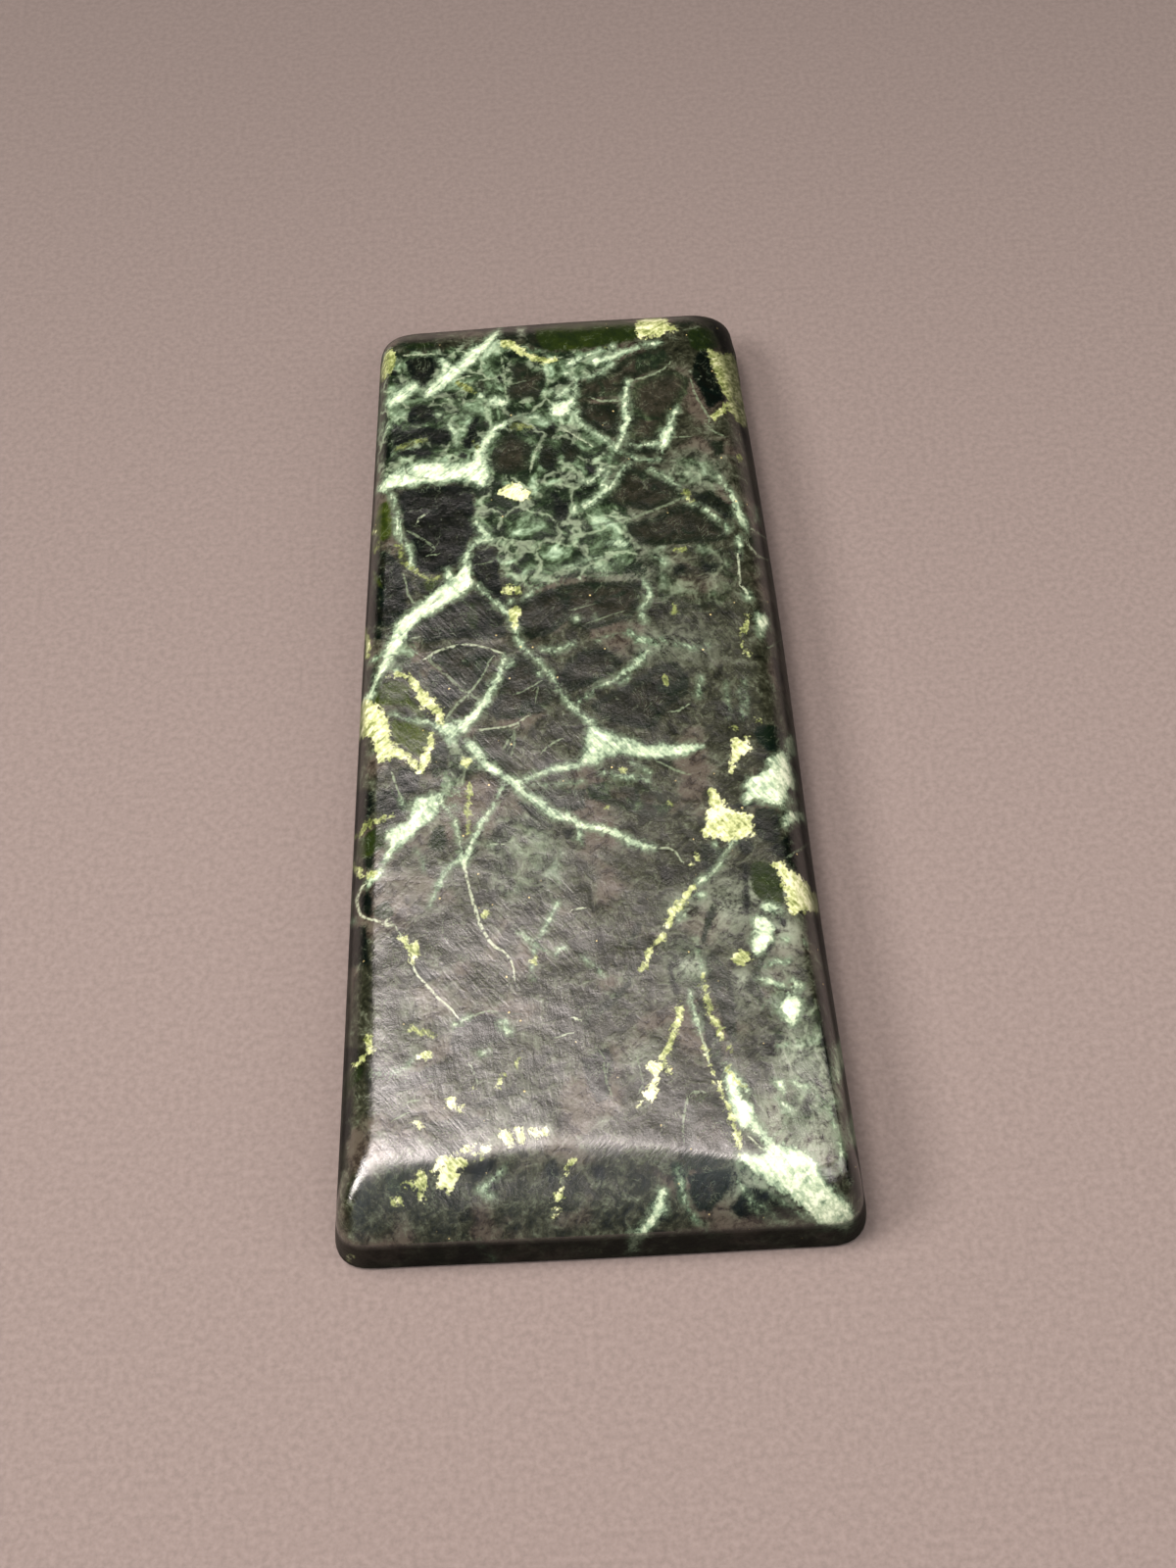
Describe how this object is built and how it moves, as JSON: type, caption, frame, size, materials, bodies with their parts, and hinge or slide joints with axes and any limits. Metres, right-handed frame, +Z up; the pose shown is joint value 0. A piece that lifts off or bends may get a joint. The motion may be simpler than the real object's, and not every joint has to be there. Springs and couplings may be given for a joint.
{
  "type": "polished serpentine slab",
  "caption": "Long tapered tablet of dark green serpentine with pale veins, cut flat beneath, bevelled all round and polished.",
  "frame": {"origin": "on the flat base, under the middle of the stone's outline", "axes": "+Z up from the base to the table, +Y along the length to the narrow end, +X to the right seen from the wide end"},
  "size_m": [0.0266, 0.0598, 0.0053],
  "materials": {
    "serpentine": null
  },
  "bodies": {
    "root": {"serpentine_slab": "serpentine"}
  },
  "joints": []
}
